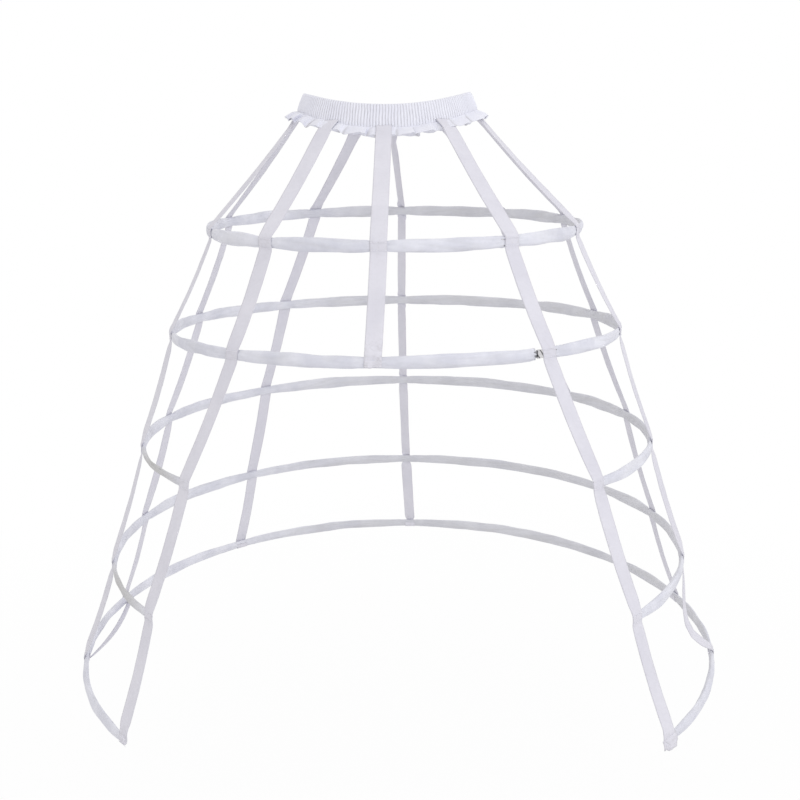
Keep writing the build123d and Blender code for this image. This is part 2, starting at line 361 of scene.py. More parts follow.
def shaded(tree, grain, dark, light, dark_to=0.0, light_from=1.0):
    """A colour that goes from dark to light with a texture's values."""
    ramp = tree.nodes.new("ShaderNodeValToRGB")
    ends = ramp.color_ramp.elements
    for end, place, colour in zip(ends, (dark_to, light_from), (dark, light)):
        end.position = place
        end.color = (*colour, 1)
    tree.links.new(grain, ramp.inputs["Fac"])
    return ramp.outputs["Color"]


def relief(tree, height, distance, strength):
    """The normal of a surface whose texture stands up by a distance."""
    bump = tree.nodes.new("ShaderNodeBump")
    bump.inputs["Distance"].default_value = distance
    bump.inputs["Strength"].default_value = strength
    tree.links.new(height, bump.inputs["Height"])
    return bump.outputs["Normal"]


def finish_surface(tree, output, colour, normal):
    """Makes a material's surface of its colour and its normal, and gives its inputs."""
    surface = tree.nodes.new("ShaderNodeBsdfPrincipled")
    tree.links.new(colour, surface.inputs["Base Color"])
    tree.links.new(normal, surface.inputs["Normal"])
    tree.links.new(surface.outputs["BSDF"], output.inputs["Surface"])
    return surface.inputs


def cloth_material(name, light, dark, painted_shade_and_tone_colour, pitch, thread_relief, drift_scale):
    """Woven cloth: two close colours that drift, painted shade and darker tone from the fold layer,
    and threads in relief.
    """
    material, tree, output = new_material(name)
    nodes, links = tree.nodes, tree.links
    coords = nodes.new("ShaderNodeTexCoord")
    weave = nodes.new("ShaderNodeGroup")
    weave.node_tree = woven_threads
    weave.inputs["Thread Pitch"].default_value = pitch
    weave.inputs["Slub"].default_value = 0.6
    links.new(coords.outputs["UV"], weave.inputs["Vector"])
    drift = noise_grain(tree, coords.outputs["Object"], drift_scale, 4.0, 0.6)
    threads = nodes.new("ShaderNodeMix")
    threads.data_type = "RGBA"
    threads.blend_type = "MULTIPLY"
    threads.inputs["Factor"].default_value = 0.10
    shade = nodes.new("ShaderNodeCombineColor")
    for channel in ("Red", "Green", "Blue"):
        links.new(weave.outputs["Thread Shade"], shade.inputs[channel])
    links.new(shaded(tree, drift, dark, light, 0.36, 0.62), threads.inputs["A"])
    links.new(shade.outputs["Color"], threads.inputs["B"])
    # The fold layer paints shade into creases, hollows and shaded sides, and darkens some cloth's
    # own tone.
    mark = nodes.new("ShaderNodeAttribute")
    mark.attribute_name = "fold"
    painted_shade_and_tone_mix = nodes.new("ShaderNodeMix")
    painted_shade_and_tone_mix.data_type = "RGBA"
    painted_shade_and_tone_mix.inputs["B"].default_value = tuple(a * b for a, b in zip(dark, painted_shade_and_tone_colour)) + (1,)
    links.new(mark.outputs["Fac"], painted_shade_and_tone_mix.inputs["Factor"])
    links.new(threads.outputs["Result"], painted_shade_and_tone_mix.inputs["A"])
    raised = relief(tree, weave.outputs["Height"], thread_relief, 0.35)
    cloth = finish_surface(tree, output, painted_shade_and_tone_mix.outputs["Result"], raised)
    cloth["Roughness"].default_value = 0.86
    cloth["Sheen Weight"].default_value = 0.12
    cloth["Sheen Roughness"].default_value = 0.5
    cloth["Specular IOR Level"].default_value = 0.25
    return material


gathered_cotton = cloth_material(
    "gathered_cotton",
    light=(0.90, 0.91, 1.0),
    dark=(0.85, 0.86, 0.96),
    # The colour that painted shade and darker tone go toward, as shares of the dark colour.
    painted_shade_and_tone_colour=(0.72, 0.71, 0.69),
    pitch=0.0004,
    thread_relief=0.00012,
    drift_scale=30.0,
)
tape_thickness = 0.0007
tape_names = [name for name in sorted(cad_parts) if name.endswith("_tape")]


def tape_centre(name, low, high):
    """The middle of the part of a tape that lies between two heights."""
    points = [vertex.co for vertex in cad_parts[name].data.vertices]
    points = [point for point in points if low <= point.z <= high]
    return sum(points, Vector()) / len(points)


# The heights between which a tape's top end lies, and how far out of the waistline it does.
tape_top_heights = (-0.047, 0.02)
tape_stand_off = 0.015
waist_angles = {}
for name in tape_names:
    middle = tape_centre(name, *tape_top_heights)
    waist_angles[name] = atan2(
        middle.x / (waist_half_width + tape_stand_off),
        -middle.y / (waist_half_depth + tape_stand_off),
    )
# How far each tape hangs aside of its solid's middle, at the waist and at the top hoop.
tape_asides = {
    "front_left_tape": (0.013, -0.008),
    "front_right_tape": (-0.013, 0.009),
    "side_right_tape": (0.0, -0.008),
    "rear_side_right_tape": (0.0, -0.009),
    "back_left_tape": (-0.010, 0.0),
    "back_right_tape": (-0.016, -0.007),
    "back_centre_tape": (-0.005, 0.0),
}
for name, asides in tape_asides.items():
    waist_angles[name] += asides[0] / (waist_half_width + tape_stand_off)
# The side tapes leave the seam behind the frill, and the others pass over the frill.
tapes_behind_frill = ("side_left_tape", "side_right_tape")
# Where a tape over the frill starts on the band and on the frill: how far out of the face, from
# what height down, and how steeply it goes out from there.
tape_on_band = (0.0032, -0.0112, 0.37)
tape_on_frill = (0.0046, -0.0150, 0.74)
tape_press_reach = 0.0125


def over_the_frill(up):
    """How far out of the band's face a tape lies that passes over the frill."""
    out, start, steepness = tape_on_band if up > tape_on_frill[1] else tape_on_frill
    return out + (start - up) * steepness


def under_a_tape(angle):
    """1 under a tape that passes over the frill, and 0 clear of it."""
    near = 0.0
    for name, middle in waist_angles.items():
        if name in tapes_behind_frill:
            continue
        away = abs((angle - middle + pi) % (2 * pi) - pi) * waist_half_width
        near = max(near, exp(-((away / tape_press_reach) ** 4)))
    return near


casing_columns = gather_count * columns_per_gather
row_count = len(casing_rows) - 1
strip_width = sum(
    Vector((next_out - out, next_up - up)).length
    for (out, up, *rest), (next_out, next_up, *rest) in zip(casing_rows, casing_rows[1:])
)
row_step = strip_width / row_count
bm, painted_shade_and_tone_mark = cut_cloth(casing_flat_length, strip_width, casing_columns, row_count)
for vertex in bm.verts:
    out, up, rib, fold = casing_rows[round(vertex.co.y / row_step)]
    angle = 2 * pi * vertex.co.x / casing_flat_length
    ring = Vector((cos(angle), sin(angle), 0))
    climb = Vector((0, 0, up * 30))
    uneven = noise.noise(ring * 3.1 + climb)
    wander = 1.5 * noise.noise(ring * 7 + climb * 3) + 0.8 * noise.noise(ring * 23 + climb * 12)
    gather = abs(cos((angle * gather_count + wander) / 2)) ** gather_roundness
    pressed = under_a_tape(angle)
    fold_turn = angle * frill_fold_count + frill_fold_wander * noise.noise(ring * 4.3)
    slit = max(0.0, cos(fold_turn - slit_turn)) ** slit_narrowness
    fold_size = fold * (0.8 + 0.7 * noise.noise(ring * 9.0 + climb * 0.5)) * (1 - 0.9 * pressed)
    across = -sin(fold_turn) * frill_fold_depth * fold_size
    slide = -sin(fold_turn) * frill_fold_overlap * fold_size
    depth = out + (gather - gather_middle) * rib * (1 + 0.4 * uneven) + across
    height = seam_place(angle, up) + 0.0003 * uneven + across * 0.35
    if fold > 0:
        depth += (over_the_frill(up) - tape_thickness - depth) * pressed
        height += frill_edge_wander * fold * noise.noise(ring * 17.0)
        depth += frill_ripple * fold * noise.noise(ring * 31.0 + climb * 5)
        # The frill darkens toward its edge, and painted shade lies in the slits beside its folds.
        vertex[painted_shade_and_tone_mark] = min(1.0, frill_mark * fold + slit_painted_shade * slit * fold_size)
    else:
        # Painted shade in the hollows between the gathers.
        vertex[painted_shade_and_tone_mark] = min(1.0, gather_painted_shade * (1 - gather) ** 1.4 * min(rib / 0.001, 1.0))
    place, along, face_out, face_up = waist_frame(angle)
    vertex.co = place + face_out * depth + along * slide + face_up * height
bmesh.ops.remove_doubles(bm, verts=bm.verts, dist=seam_merge)
casing = finish_cloth(bm, "waistband_cloth", casing_cloth, gathered_cotton)
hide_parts("waistband_casing")

# Waistband stitching. A row of machine stitches closes the casing under the elastic, where the
# frill begins.
thread_width = 0.00045
waist_stitch_length = 0.0024
waist_stitch_pitch = 0.0034
waist_stitch_out = 0.0021
waist_stitch_up = -0.0140
# The band's mean radius as a share of its half width.
mean_waist_share = 0.9


def add_stitch(bm, place, along, outward, length, width):
    """One stitch of thread: a short round bar that lies on the cloth."""
    made = bmesh.ops.create_cone(
        bm, cap_ends=True, segments=6, radius1=width * 0.5, radius2=width * 0.5, depth=length
    )["verts"]
    side = outward.cross(along).normalized()
    lie = Matrix((side, outward, along)).transposed().to_4x4()
    bmesh.ops.transform(bm, matrix=Matrix.Translation(place) @ lie, verts=made)


def grained_material(name, scale, dark, light, distance, strength, roughness, ribbed=False):
    """A plain finish with a fine grain, or ribs one above the other, in two close colours."""
    material, tree, output = new_material(name)
    coords = tree.nodes.new("ShaderNodeTexCoord")
    if ribbed:
        grain = tree.nodes.new("ShaderNodeTexWave")
        grain.bands_direction = "Z"
        grain.inputs["Distortion"].default_value = 0.4
    else:
        grain = tree.nodes.new("ShaderNodeTexNoise")
    grain.inputs["Scale"].default_value = scale
    tree.links.new(coords.outputs["Object"], grain.inputs["Vector"])
    colour = shaded(tree, grain.outputs["Fac"], dark, light)
    raised = relief(tree, grain.outputs["Fac"], distance, strength)
    finish_surface(tree, output, colour, raised)["Roughness"].default_value = roughness
    return material


sewing_thread = grained_material(
    "sewing_thread",
    scale=1600.0,
    dark=(0.80, 0.80, 0.86),
    light=(0.92, 0.92, 0.97),
    distance=0.0001,
    strength=0.6,
    roughness=0.7,
)
bm = bmesh.new()
stitch_count = round(2 * pi * waist_half_width * mean_waist_share / waist_stitch_pitch)
for number in range(stitch_count):
    angle = 2 * pi * number / stitch_count
    place, along, face_out, face_up = waist_frame(angle)
    place += face_out * waist_stitch_out
    place += face_up * seam_place(angle, waist_stitch_up)
    add_stitch(bm, place, along, face_out, waist_stitch_length, thread_width)
finish_piece(bm, "waistband_stitching", sewing_thread)

# Waist elastic. A flat woven band of rubber-cored cords, closed into a ring inside the casing
# that draws the cotton up. Its ribs run round it.
woven_elastic = grained_material(
    "woven_elastic",
    scale=160.0,
    dark=(0.66, 0.66, 0.70),
    light=(0.80, 0.80, 0.84),
    distance=0.0003,
    strength=0.5,
    roughness=0.8,
    ribbed=True,
)


def dress_solid(name, material):
    """Gives one of the frame's own solids its finish."""
    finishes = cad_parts[name].data.materials
    finishes.clear()
    finishes.append(material)


dress_solid("waist_elastic", woven_elastic)

# Boning, ferrules and caps. Flat spring steel gives the five hoops their shape. A closed hoop's
# ends meet in a crimped ferrule, and an open hoop's have dipped plastic caps.


def metal_material(name, light, dark, roughness, streak, groove_painted_shade):
    """Drawn steel: fine streaks, a grey that drifts, rougher scuffs and slanting grooves painted
    near black as shade.
    """
    material, tree, output = new_material(name)
    nodes, links = tree.nodes, tree.links
    coords = nodes.new("ShaderNodeTexCoord")
    stretch = nodes.new("ShaderNodeMapping")
    stretch.inputs["Scale"].default_value = (1, 1, 14)
    links.new(coords.outputs["Object"], stretch.inputs["Vector"])
    streaks = noise_grain(tree, stretch.outputs["Vector"], streak, 5.0)
    gloss = nodes.new("ShaderNodeMapRange")
    gloss.inputs["To Min"].default_value = roughness * 1.25
    gloss.inputs["To Max"].default_value = roughness * 0.8
    links.new(streaks, gloss.inputs["Value"])
    bands = nodes.new("ShaderNodeTexWave")
    bands.bands_direction = "DIAGONAL"
    bands.inputs["Scale"].default_value = 62.0
    bands.inputs["Distortion"].default_value = 0.6
    links.new(coords.outputs["Object"], bands.inputs["Vector"])
    cut = nodes.new("ShaderNodeMapRange")
    cut.inputs["From Min"].default_value = 0.04
    cut.inputs["From Max"].default_value = 0.30
    cut.inputs["To Min"].default_value = groove_painted_shade
    cut.inputs["To Max"].default_value = 0.0
    links.new(bands.outputs["Fac"], cut.inputs["Value"])
    # Painted shade in the slanting grooves.
    painted_groove_mix = nodes.new("ShaderNodeMix")
    painted_groove_mix.data_type = "RGBA"
    painted_groove_mix.inputs["B"].default_value = (0.05, 0.05, 0.055, 1)
    links.new(cut.outputs["Result"], painted_groove_mix.inputs["Factor"])
    links.new(shaded(tree, streaks, dark, light, 0.35, 0.68), painted_groove_mix.inputs["A"])
    raised = relief(tree, streaks, 0.0002, 0.3)
    steel = finish_surface(tree, output, painted_groove_mix.outputs["Result"], raised)
    steel["Metallic"].default_value = 1.0
    links.new(gloss.outputs["Result"], steel["Roughness"])
    return material


spring_steel = metal_material(
    "spring_steel",
    light=(0.42, 0.42, 0.44),
    dark=(0.24, 0.24, 0.26),
    roughness=0.38,
    streak=120.0,
    groove_painted_shade=0.0,
)
plated_steel = metal_material(
    "plated_steel",
    light=(0.80, 0.79, 0.80),
    dark=(0.58, 0.57, 0.58),
    roughness=0.42,
    streak=260.0,
    groove_painted_shade=0.85,
)
dipped_plastic = grained_material(
    "dipped_plastic",
    scale=320.0,
    dark=(0.72, 0.72, 0.71),
    light=(0.84, 0.84, 0.83),
    distance=0.0001,
    strength=1.0,
    roughness=0.45,
)
finishes = {"_bone": spring_steel, "_ferrule": plated_steel, "_cap": dipped_plastic}
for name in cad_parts:
    for ending, finish in finishes.items():
        if name.endswith(ending):
            dress_solid(name, finish)

# Sleeves. Each hoop runs in a soft cotton tube that is wider than the steel, so it stands full
# and creased between the tapes and is drawn in flat under each of them. The closed hoops' sleeves
# end beside the front right tape, one gathered and one frayed, with the joint in the gap.
hoop_count = 5
closed_hoops = 2
# How much lower each hoop hangs at its front than at its sides.
hoop_front_dips = (0.010, -0.004, 0.0, 0.0, 0.0)
crossing_search = 0.022
bone_thickness = 0.001
sleeve_cloth_thickness = 0.0004
sleeve_girth = 0.042
# A sleeve's depth and height where it is full and where a tape ties it.
sleeve_full = (0.0084, 0.0168)
sleeve_tied = (0.0056, 0.0126)
bay_variation = 0.12
# The bays where a sleeve lies folded down on the steel, and its depth and height there, by hoop
# and by bay from the front right tape.
folded_bays = {(3, 8): (0.0048, 0.0086), (4, 8): (0.0052, 0.0108)}
# How far a tape draws a sleeve flat on each side of its middle, and how far its puckers reach.
tie_flat = 0.011
pucker_reach = 0.018
# At each closed hoop's joint: how far the sleeve's ends stop short of the tape's middle before
# and after it, and how far in from them the cloth frays, is gathered and is squeezed.
joint_gap_before = (0.004, 0.0195)
joint_gap_after = (0.003, 0.006)
joint_fray = (0.0030, 0.0036)
joint_gathers = (0.024, 0.014)
joint_squeeze = 0.007
# How far an open hoop's sleeve runs past its last tape, and how far in it closes and tapers.
open_end_reach = 0.0036
open_end_close = 0.0035
open_end_taper = 0.05
sleeve_step = 0.0026
sleeve_sides = 30
# How deep the sleeves' long creases and fine crumples are, and how high the puckers at a tape
# and the gathers at a joint stand.
crease_depth = 0.0006
crumple_depth = 0.0005
pucker_height = 0.0003
joint_gather_height = 0.0009
joint_bunch_height = 0.0016
# The sleeve's own seam runs along its inside.
sleeve_seam_turn = 3.4
sleeve_seam_height = 0.0005
sleeve_seam_width = 0.0009
sleeve_mean_radius = 0.0065
# How much painted shade each kind of fold and the sleeves' inside get, and where round the hoops the
# inside is most in shade.
crease_painted_shade = 0.20
crumple_painted_shade = 0.14
folded_bay_painted_shade = 0.85
inside_painted_shade = 0.42
inside_shade_turn = 2.4


def hoop_ring(index):
    """A hoop's centre and radius, from its boning."""
    low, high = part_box(f"hoop_{index + 1}_bone")
    centre = Vector(((high.x + low.x) / 2, 0, (high.z + low.z) / 2))
    return centre, (high.x - low.x - bone_thickness) / 2


def tape_turn(name, centre):
    """The angle from the front at which a tape crosses a hoop."""
    middle = tape_centre(name, centre.z - crossing_search, centre.z + crossing_search)
    return atan2(middle.x - centre.x, -middle.y)


def hoop_frame(index, angle):
    """A point on a hoop's centre line, with the directions outward, along it and up."""
    centre, radius = hoops[index]
    tilt = Quaternion((1, 0, 0), atan2(hoop_front_dips[index], radius))
    outward = tilt @ Vector((sin(angle), -cos(angle), 0))
    along = tilt @ Vector((cos(angle), sin(angle), 0))
    up = tilt @ Vector((0, 0, 1))
    return centre + outward * radius, outward, along, up


def eased(share):
    """0 up to a share of 0 and 1 from a share of 1, with a soft start and end between."""
    share = min(max(share, 0.0), 1.0)
    return share * share * (3 - 2 * share)


hoops = [hoop_ring(index) for index in range(hoop_count)]
hoop_angles = [
    {name: tape_turn(name, centre) for name in tape_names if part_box(name)[0].z < centre.z}
    for centre, radius in hoops
]
for name, asides in tape_asides.items():
    hoop_angles[0][name] += asides[1] / hoops[0][1]
sleeve_cotton = cloth_material(
    "sleeve_cotton",
    light=(0.84, 0.85, 0.93),
    dark=(0.72, 0.73, 0.82),
    # A warm grey for the sleeves' painted shade.
    painted_shade_and_tone_colour=(0.80, 0.79, 0.71),
    pitch=0.0004,
    thread_relief=0.00014,
    drift_scale=26.0,
)


def sleeve_section(index, gone, length, ties):
    """A sleeve's section at one place: its sizes, how full, drawn in and turned it is, and its
    painted shade.
    """
    bay = sum(place <= gone for place in ties)
    before = ties[bay - 1] if bay > 0 else 0.0
    after = ties[bay] if bay < len(ties) else length
    open_length = max(after - before - 2 * tie_flat, 0.001)
    share = min(max((gone - before - tie_flat) / open_length, 0.0), 1.0)
    full = sin(pi * share) ** 0.6
    from_tie = min(gone - before, after - gone)
    drawn = exp(-max(from_tie - tie_flat, 0.0) / pucker_reach) * eased(from_tie / tie_flat)
    fat = 1 + bay_variation * noise.noise(Vector((bay * 3.3, index * 7.1, 2)))
    usual = (sleeve_full[0] * fat, sleeve_full[1] * fat)
    depth, tall = folded_bays.get((index + 1, bay), usual)
    depth = sleeve_tied[0] + (depth - sleeve_tied[0]) * full
    tall = sleeve_tied[1] + (tall - sleeve_tied[1]) * full
    end = min(gone, length - gone)
    if index < closed_hoops:
        squeeze = eased(end / joint_squeeze)
        depth *= 0.48 + 0.52 * squeeze
        tall *= 0.84 + 0.16 * squeeze
    else:
        squeeze = min(max(end, 0.0) / open_end_close, 1.0) ** 0.5
        depth *= 0.06 + 0.94 * squeeze
        tall *= (0.20 + 0.80 * squeeze) * (0.9 + 0.1 * eased(end / open_end_taper))
    slant = 0.45 * full * noise.noise(Vector((gone * 8, index * 5.1, 0)))
    rise = 0.0009 * full * noise.noise(Vector((gone * 11, index * 3.7, 5)))
    # Painted shade over a bay that lies folded down.
    painted_folded_shade = folded_bay_painted_shade * full * ((index + 1, bay) in folded_bays)
    return gone, depth, tall, full, drawn, slant, rise, end, painted_folded_shade


for index, angles in enumerate(hoop_angles):
    radius = hoops[index][1]
    right = angles["front_right_tape"]
    closed = index < closed_hoops
    if closed:
        first = right + joint_gap_after[index] / radius
        last = right + 2 * pi - joint_gap_before[index] / radius
    else:
        first = right - open_end_reach / radius
        last = angles["front_left_tape"] + 2 * pi + open_end_reach / radius
    length = (last - first) * radius
    columns = round(length / sleeve_step)
    ties = sorted(
        ((angle - right) % (2 * pi) + right - first) * radius for angle in angles.values()
    )
    if closed:
        ties.append((right + 2 * pi - first) * radius)
    sections = [
        sleeve_section(index, length * column / columns, length, ties)
        for column in range(columns + 1)
    ]
    bm, painted_shade_and_tone_mark = cut_cloth(length, sleeve_girth, columns, sleeve_sides)
    for vertex in bm.verts:
        column = round(vertex.co.x / length * columns)
        gone, depth, tall, full, drawn, slant, rise, end, painted_folded_shade = sections[column]
        turn = 2 * pi * vertex.co.y / sleeve_girth
        ring = Vector((0, cos(turn), sin(turn)))
        seed = Vector((gone, index * 9.3, 0))
        soft = noise.noise(seed * 24 + ring * 0.8) * 0.0012 * (0.1 + full)
        slanted = Vector((gone * 15 + 0.6 * sin(turn), index * 4.7, 3))
        line = abs(noise.noise(slanted + ring * 0.7))
        crease = max(0.0, 1 - line * 4) * (0.15 + 0.85 * full)
        fine = abs(noise.noise(seed * 60 + ring * 1.9))
        crumple = max(0.0, 1 - fine * 6) * (0.25 + 0.75 * drawn)
        pucker = sin(turn * 7 + gone * 70 + 3 * noise.noise(seed * 30)) * drawn
        from_seam = (turn - sleeve_seam_turn) * sleeve_mean_radius
        seam = exp(-((from_seam / sleeve_seam_width) ** 2))
        swell = soft - crease_depth * crease - crumple_depth * crumple + pucker_height * pucker
        swell += sleeve_seam_height * seam
        if closed and end < joint_gathers[index]:
            gathers = 1 - eased(end / joint_gathers[index])
            bunch = noise.noise(Vector((gone * 240, cos(turn) * 2.6, sin(turn) * 2.6)))
            gather = joint_gather_height * sin(turn * 9 + index)
            swell += gathers * (gather + joint_bunch_height * bunch)
            fray = noise.noise(Vector((cos(turn) * 5, sin(turn) * 5, index * 3.1)))
            gone += joint_fray[index] * gathers ** 4 * fray * (1 if gone < length / 2 else -1)
            crumple = max(crumple, gathers * 0.8 * abs(sin(turn * 4.5 + index * 0.5)))
        side = (depth / 2 + swell) * cos(turn)
        lift = (tall / 2 + swell) * sin(turn) + rise
        outside = side * cos(slant) - lift * sin(slant)
        above = side * sin(slant) + lift * cos(slant)
        angle = first + gone / radius
        # Painted shade on the sleeve's inside, strongest toward the back right of the hoops.
        shaded_side = eased((cos(angle - inside_shade_turn) + 0.1) / 0.9)
        inner = eased(0.4 - cos(turn)) * shaded_side
        # Painted shade in creases, crumples, folded bays and on the inside.
        mark = crease_painted_shade * crease + crumple_painted_shade * crumple + painted_folded_shade + inside_painted_shade * inner
        vertex[painted_shade_and_tone_mark] = min(1.0, mark)
        place, outward, along, up = hoop_frame(index, angle)
        vertex.co = place + outward * outside + up * above
    bmesh.ops.remove_doubles(bm, verts=bm.verts, dist=seam_merge)
    sleeve = finish_cloth(
        bm, f"hoop_{index + 1}_cloth", sleeve_cloth_thickness, sleeve_cotton
    )
    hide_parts(f"hoop_{index + 1}_sleeve")

# Tapes. Ten flat woven tapes hang from the waistband's seam over the frill, pass over the
# outside of every sleeve and are sewn to it there. Between the hoops they turn and bow inwards.
tape_width = 0.020
tape_step = 0.0015
tape_rows_across = 12
corner_easings = 4
# How far out of a hoop's centre line a tape lies, and how far its end turns up behind the last.
tape_seat = sleeve_tied[0] / 2 + 0.0006
tape_foot = 0.005
# Where a tape leaves the waistband's seam: heights over the frill, or places behind it.
starts_over_frill = (-0.0122, -0.0150, -0.0275)
starts_behind_frill = ((0.0004, -0.0118), (-0.0006, -0.0150))
# How far each bay of a tape turns its face to the front, from the waist down, in degrees.
tape_turns = {
    "front_centre_tape": (0, 0),
    "front_left_tape": (8, 5, 1, 3, 3),
    "front_right_tape": (7, 4, 5, 9, 5),
    "side_left_tape": (4, 3, 10, 9, 12),
    "side_right_tape": (7, 5, 7, 12, 14),
    "rear_side_left_tape": (3, 2, -4, -6, 4),
    "rear_side_right_tape": (5, 3, 0, 0, 3),
    "back_left_tape": (12, 6, 3, 0, 0),
    "back_right_tape": (34, 10, 6, 4, 4),
    "back_centre_tape": (57, 51, 49, 41, 23),
}
# A turn of more degrees than this is made near a bay's ends, and a smaller one over more of it.
sharp_turn = 35
sharp_quickness = 40
soft_quickness = 12
bay_bow = 0.0022
bay_shares = (0.03, 0.08, 0.18, 0.34, 0.5, 0.66, 0.82, 0.92, 0.97)
# The slack last bay of one tape: shares of its drop, and how far it hangs inwards there.
slack_tape = "side_right_tape"
slack_hang = ((0.30, 0.011), (0.54, 0.020), (0.72, 0.024), (0.86, 0.021), (0.95, 0.011))
# A tape that is pinched together: the share of its width that is left, how far down from the
# waistband it is so, and how much of that there is at the sleeves.
pinched_widths = {"back_centre_tape": (0.45, 0.035, 1.0), "back_right_tape": (0.35, 0.060, 0.0)}
# The share of its width that a tape has at its foot, where it closes over an open hoop's end.
foot_widths = {"front_left_tape": 0.5, "front_right_tape": 1.25}
# How far from a tape's end its foot starts, over what length it does, within what reach of the
# hoop's centre line it closes, and by how much.
foot_length = 0.046
foot_ease = 0.020
foot_reach = 0.009
foot_reach_ease = 0.008
foot_closing = 0.85
# The front centre tape's end is folded under, and the front right one's is wrapped round its hoop.
folded_foot = "front_centre_tape"
wrapped_foot = "front_right_tape"
# How far a tape curls along its edges, is crinkled everywhere and crumpled at a finished foot.
tape_curl = 0.0016
tape_crinkle = 0.0003
foot_crumple = 0.0016
# The selvedge: from what share of the width it starts, and how dark it is.
selvedge_share = 0.46
selvedge_mark = 0.12
# How far a crossing's puckers reach, and its stitches: rows by steps from its middle, how many
# to a row, and their length, width and place out of the tape.
crossing_reach = 0.010
crossing_stitch_rows = (-3, 3)
crossing_stitches = 6
crossing_stitch_length = 0.0024
crossing_stitch_width = 0.0006
crossing_stitch_out = 0.0004
tape_cotton = cloth_material(
    "tape_cotton",
    light=(0.79, 0.785, 0.86),
    dark=(0.74, 0.735, 0.815),
    # The colour that the tape's painted shade and darker selvedge go toward.
    painted_shade_and_tone_colour=(0.74, 0.73, 0.70),
    pitch=0.0006,
    thread_relief=0.00018,
    drift_scale=18.0,
)


def turned_bay(start, end, turn, bow):
    """Points inside one bay, where a tape turns about its own run and bows inwards."""
    run = (end[0] - start[0]).normalized()
    inside = []
    quick = sharp_quickness if abs(turn) > sharp_turn else soft_quickness
    for share in bay_shares:
        across = start[1].lerp(end[1], share).normalized()
        outward = run.cross(across).normalized()
        across = Quaternion(run, radians(turn) * min(1.0, quick * share * (1 - share))) @ across
        inside.append((start[0].lerp(end[0], share) - outward * bow * sin(pi * share), across))
    return inside


def tape_crossing(name, last):
    """A tape's way over a sleeve: places out of the hoop's centre line and up it."""
    depth, tall = tape_seat, sleeve_tied[1] / 2
    over = [(depth * 0.8, tall + 0.0009), (depth, tall * 0.5), (depth, 0), (depth, -tall * 0.5)]
    if not last:
        return over + [(depth * 0.8, -tall - 0.0010)]
    if name == folded_foot:
        return over + [
            (depth + 0.0016, -tall * 0.80),
            (depth + 0.0012, -tall * 0.98),
            (depth + 0.0002, -tall * 0.86),
            (depth - 0.0004, -tall * 0.45),
        ]
    over += [
        (depth * 0.6, -tall - 0.0012),
        (-depth * 0.6, -tall - 0.0012),
        (-depth, -tall * 0.5),
        (-depth, -tall * 0.5 + tape_foot),
    ]
    if name == wrapped_foot:
        over += [
            (-depth * 0.9, tall * 0.7),
            (0, tall + 0.0028),
            (depth + 0.0022, tall * 0.4),
            (depth + 0.0030, -tall * 0.5),
            (depth + 0.0020, -tall - 0.0030),
            (depth + 0.0010, -tall - 0.0075),
        ]
    return over


def tape_route(name):
    """Where a tape runs: its points, and at each the direction across it."""
    angle = waist_angles[name]
    place, along, face_out, face_up = waist_frame(angle)
    if name in tapes_behind_frill:
        starts = starts_behind_frill
    else:
        starts = [(over_the_frill(up), up) for up in starts_over_frill]
    route = [
        (place + face_out * out + face_up * seam_place(angle, up), along) for out, up in starts
    ]
    reached = [index for index in range(hoop_count) if name in hoop_angles[index]]
    spots = [waist_point(angle)]
    spots += [hoop_frame(index, hoop_angles[index][name])[0] for index in reached]
    lowest_slide = -sleeve_tied[1] / 2 - 0.002
    for index in reached:
        place, outward, along, up = hoop_frame(index, hoop_angles[index][name])
        above, below = spots[index], spots[min(index + 2, len(reached))]
        slope = (below - above).dot(along) / (above - below).dot(up)
        over = [
            (place + outward * out + up * rise - along * slope * max(rise, lowest_slide), along)
            for out, rise in tape_crossing(name, index == reached[-1])
        ]
        start = route[-1]
        turn = tape_turns[name][index] * (1 if hoop_angles[index][name] > 0 else -1)
        if name == slack_tape and index == hoop_count - 1:
            run = (over[0][0] - start[0]).normalized()
            across = Quaternion(run, radians(turn)) @ along
            route += [
                (start[0].lerp(over[0][0], share) - outward * hang, across)
                for share, hang in slack_hang
            ]
        else:
            route += turned_bay(start, over[0], turn, bay_bow)
        route += over
    return route


def along_route(route, step):
    """Points and crosswise directions at even steps along a route, with its corners eased."""
    points, acrosses = [], []
    for (here, across), (there, next_across) in zip(route, route[1:]):
        count = max(1, round((there - here).length / step))
        for part in range(count):
            points.append(here.lerp(there, part / count))
            acrosses.append(across.lerp(next_across, part / count).normalized())
    points.append(route[-1][0])
    acrosses.append(route[-1][1])
    for ease in range(corner_easings):
        points[1:-1] = [
            (before + here * 2 + after) / 4
            for before, here, after in zip(points, points[1:], points[2:])
        ]
        acrosses[1:-1] = [
            (before + here * 2 + after).normalized()
            for before, here, after in zip(acrosses, acrosses[1:], acrosses[2:])
        ]
    return points, acrosses


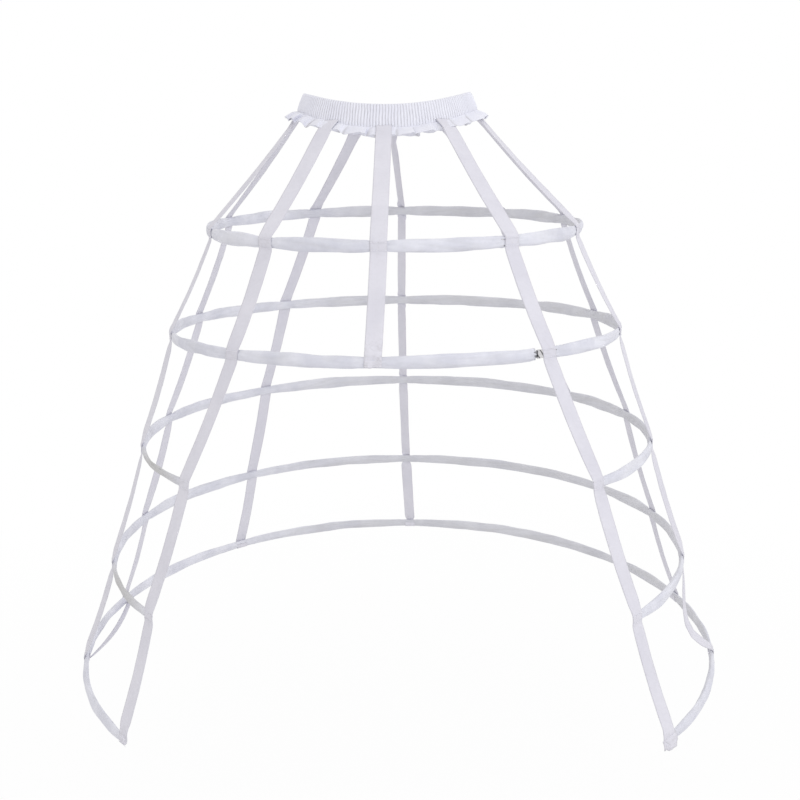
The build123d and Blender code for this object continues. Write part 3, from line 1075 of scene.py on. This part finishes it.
for number, name in enumerate(tape_names):
    points, acrosses = along_route(tape_route(name), tape_step)
    steps = len(points) - 1
    outwards = []
    for station, across in enumerate(acrosses):
        run = points[min(station + 1, steps)] - points[max(station - 1, 0)]
        outwards.append(run.cross(across).normalized())
    length = sum((after - before).length for before, after in zip(points, points[1:]))
    ties = []
    for index, angles in enumerate(hoop_angles):
        if name in angles:
            place, outward, along, up = hoop_frame(index, angles[name])
            foot_place, foot_along = place, along
            place = place + outward * tape_seat
            ties.append(min(range(steps), key=lambda station: (points[station] - place).length))
    bm, painted_shade_and_tone_mark = cut_cloth(length, tape_width, steps, tape_rows_across)
    for vertex in bm.verts:
        station = round(vertex.co.x / length * steps)
        aside = vertex.co.y - tape_width / 2
        gone = station * tape_step
        from_tie = min(abs(station - tie) for tie in ties) * tape_step
        near = exp(-(from_tie / crossing_reach) ** 2)
        end = eased((gone - (steps * tape_step - foot_length)) / foot_ease)
        aside *= 1 + (foot_widths.get(name, 1.0) - 1) * end
        left, reach, at_sleeves = pinched_widths.get(name, (1.0, 0.05, 0.0))
        aside *= 1 + (left - 1) * max(near * at_sleeves, exp(-((gone / reach) ** 2)))
        pull = noise.noise(Vector((gone * 9, number * 7.7, 1.0)))
        rough = noise.noise(Vector((gone * 150, aside * 130, number)))
        lift = tape_curl * pull * aside / tape_width
        lift += tape_crinkle * noise.noise(Vector((gone * 50, aside * 80, number)))
        lift += tape_crinkle * rough * near
        if name in (wrapped_foot, folded_foot):
            lift += foot_crumple * rough * end
        # Painted shade along fine crinkle lines, more near a crossing and at a finished foot.
        line = max(0.0, 1 - abs(rough) * 7) * (0.08 + 0.2 * near + 0.35 * end)
        selvedge = abs(aside) > tape_width * selvedge_share
        vertex[painted_shade_and_tone_mark] = min(1.0, line + selvedge_mark * selvedge)
        vertex.co = points[station] + acrosses[station] * aside + outwards[station] * lift
        if name in foot_widths:
            past = aside * (1 if name == "front_left_tape" else -1)
            core = foot_place + foot_along * (vertex.co - foot_place).dot(foot_along)
            close = 1 - eased(((vertex.co - core).length - foot_reach) / foot_reach_ease)
            half = tape_width / 2 * foot_widths[name]
            closing = foot_closing * eased((past - 0.28 * half) / (0.45 * half)) * close
            vertex.co = vertex.co.lerp(core, closing)
    tape = finish_cloth(
        bm, name.replace("_tape", "_cotton_tape"), tape_thickness, tape_cotton
    )
    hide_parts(name)
    bm = bmesh.new()
    for tie in ties:
        for row in crossing_stitch_rows:
            station = min(tie + row, steps)
            for part in range(crossing_stitches):
                aside = tape_width * (0.8 * part / (crossing_stitches - 1) - 0.4)
                place = points[station] + acrosses[station] * aside
                place += outwards[station] * crossing_stitch_out
                add_stitch(
                    bm,
                    place,
                    acrosses[station],
                    outwards[station],
                    crossing_stitch_length,
                    crossing_stitch_width,
                )
    stitches = finish_piece(bm, name.replace("_tape", "_stitches"), sewing_thread)

# Side tie. A narrow tape between the two left tapes' feet, inside the lowest hoop, which hangs
# in slack from the rear one forward and turns over as it goes.
tie_width = 0.011
tie_thickness = 0.0006
# How low it sags, how it leans at its ends and how much more so between, and how far inside the
# hoop's centre line its ends are.
tie_sag = 0.013
tie_lean = 0.95
tie_roll = 0.25
tie_inside = 0.0052
tie_steps = 90
tie_rows_across = 6
lowest = hoop_count - 1
tie_ends = []
for name in ("rear_side_left_tape", "side_left_tape"):
    place, outward, along, up = hoop_frame(lowest, hoop_angles[lowest][name])
    tie_ends.append(place - outward * tie_inside)
span = tie_ends[1] - tie_ends[0]
side = Vector((-span.y, span.x, 0)).normalized()
bm, painted_shade_and_tone_mark = cut_cloth(span.length, tie_width, tie_steps, tie_rows_across)
for vertex in bm.verts:
    share = vertex.co.x / span.length
    aside = vertex.co.y - tie_width / 2
    lean = tie_lean + tie_roll * sin(pi * share)
    sag = tie_sag * sin(pi * share ** 0.8)
    vertex.co = (
        tie_ends[0]
        + span * share
        + side * (aside * sin(lean))
        + Vector((0, 0, aside * cos(lean) - sag))
    )
tie = finish_cloth(bm, "left_slack_tie", tie_thickness, tape_cotton)
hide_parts("left_side_tie")
